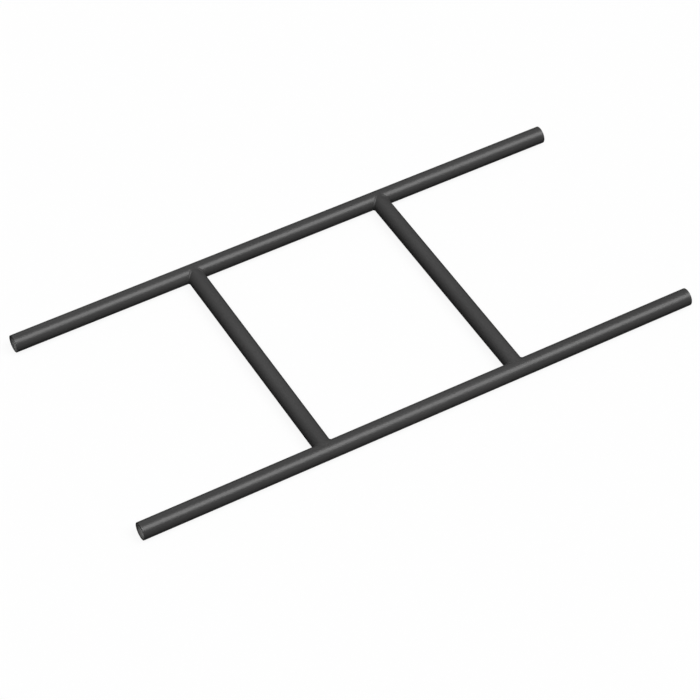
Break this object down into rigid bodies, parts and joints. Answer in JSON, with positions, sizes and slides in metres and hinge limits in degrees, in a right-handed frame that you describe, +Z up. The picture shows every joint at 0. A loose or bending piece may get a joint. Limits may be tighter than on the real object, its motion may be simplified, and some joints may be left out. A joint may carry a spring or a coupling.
{
  "type": "lighting truss section",
  "caption": "Flat ladder-frame lighting truss section: parallel round chord tubes with open ends, joined by welded cross rungs, in satin dark charcoal.",
  "frame": {"origin": "on the surface that the section lies on, under the middle of the frame: midway between the chords and midway between their ends", "axes": "+X along the chords, to the front; +Y to the left chord; +Z up, square to the plane of the tubes' centre lines"},
  "size_m": [1.625, 0.7732, 0.0491],
  "materials": {
    "chord_tube_coating": "satin",
    "rung_tube_coating": "satin",
    "weld_coating": "satin"
  },
  "bodies": {
    "root": {"left_chord_tube": "chord_tube_coating", "right_chord_tube": "chord_tube_coating", "front_rung_tube": "rung_tube_coating", "rear_rung_tube": "rung_tube_coating", "front_left_weld": "weld_coating", "front_right_weld": "weld_coating", "rear_left_weld": "weld_coating", "rear_right_weld": "weld_coating"}
  },
  "joints": []
}
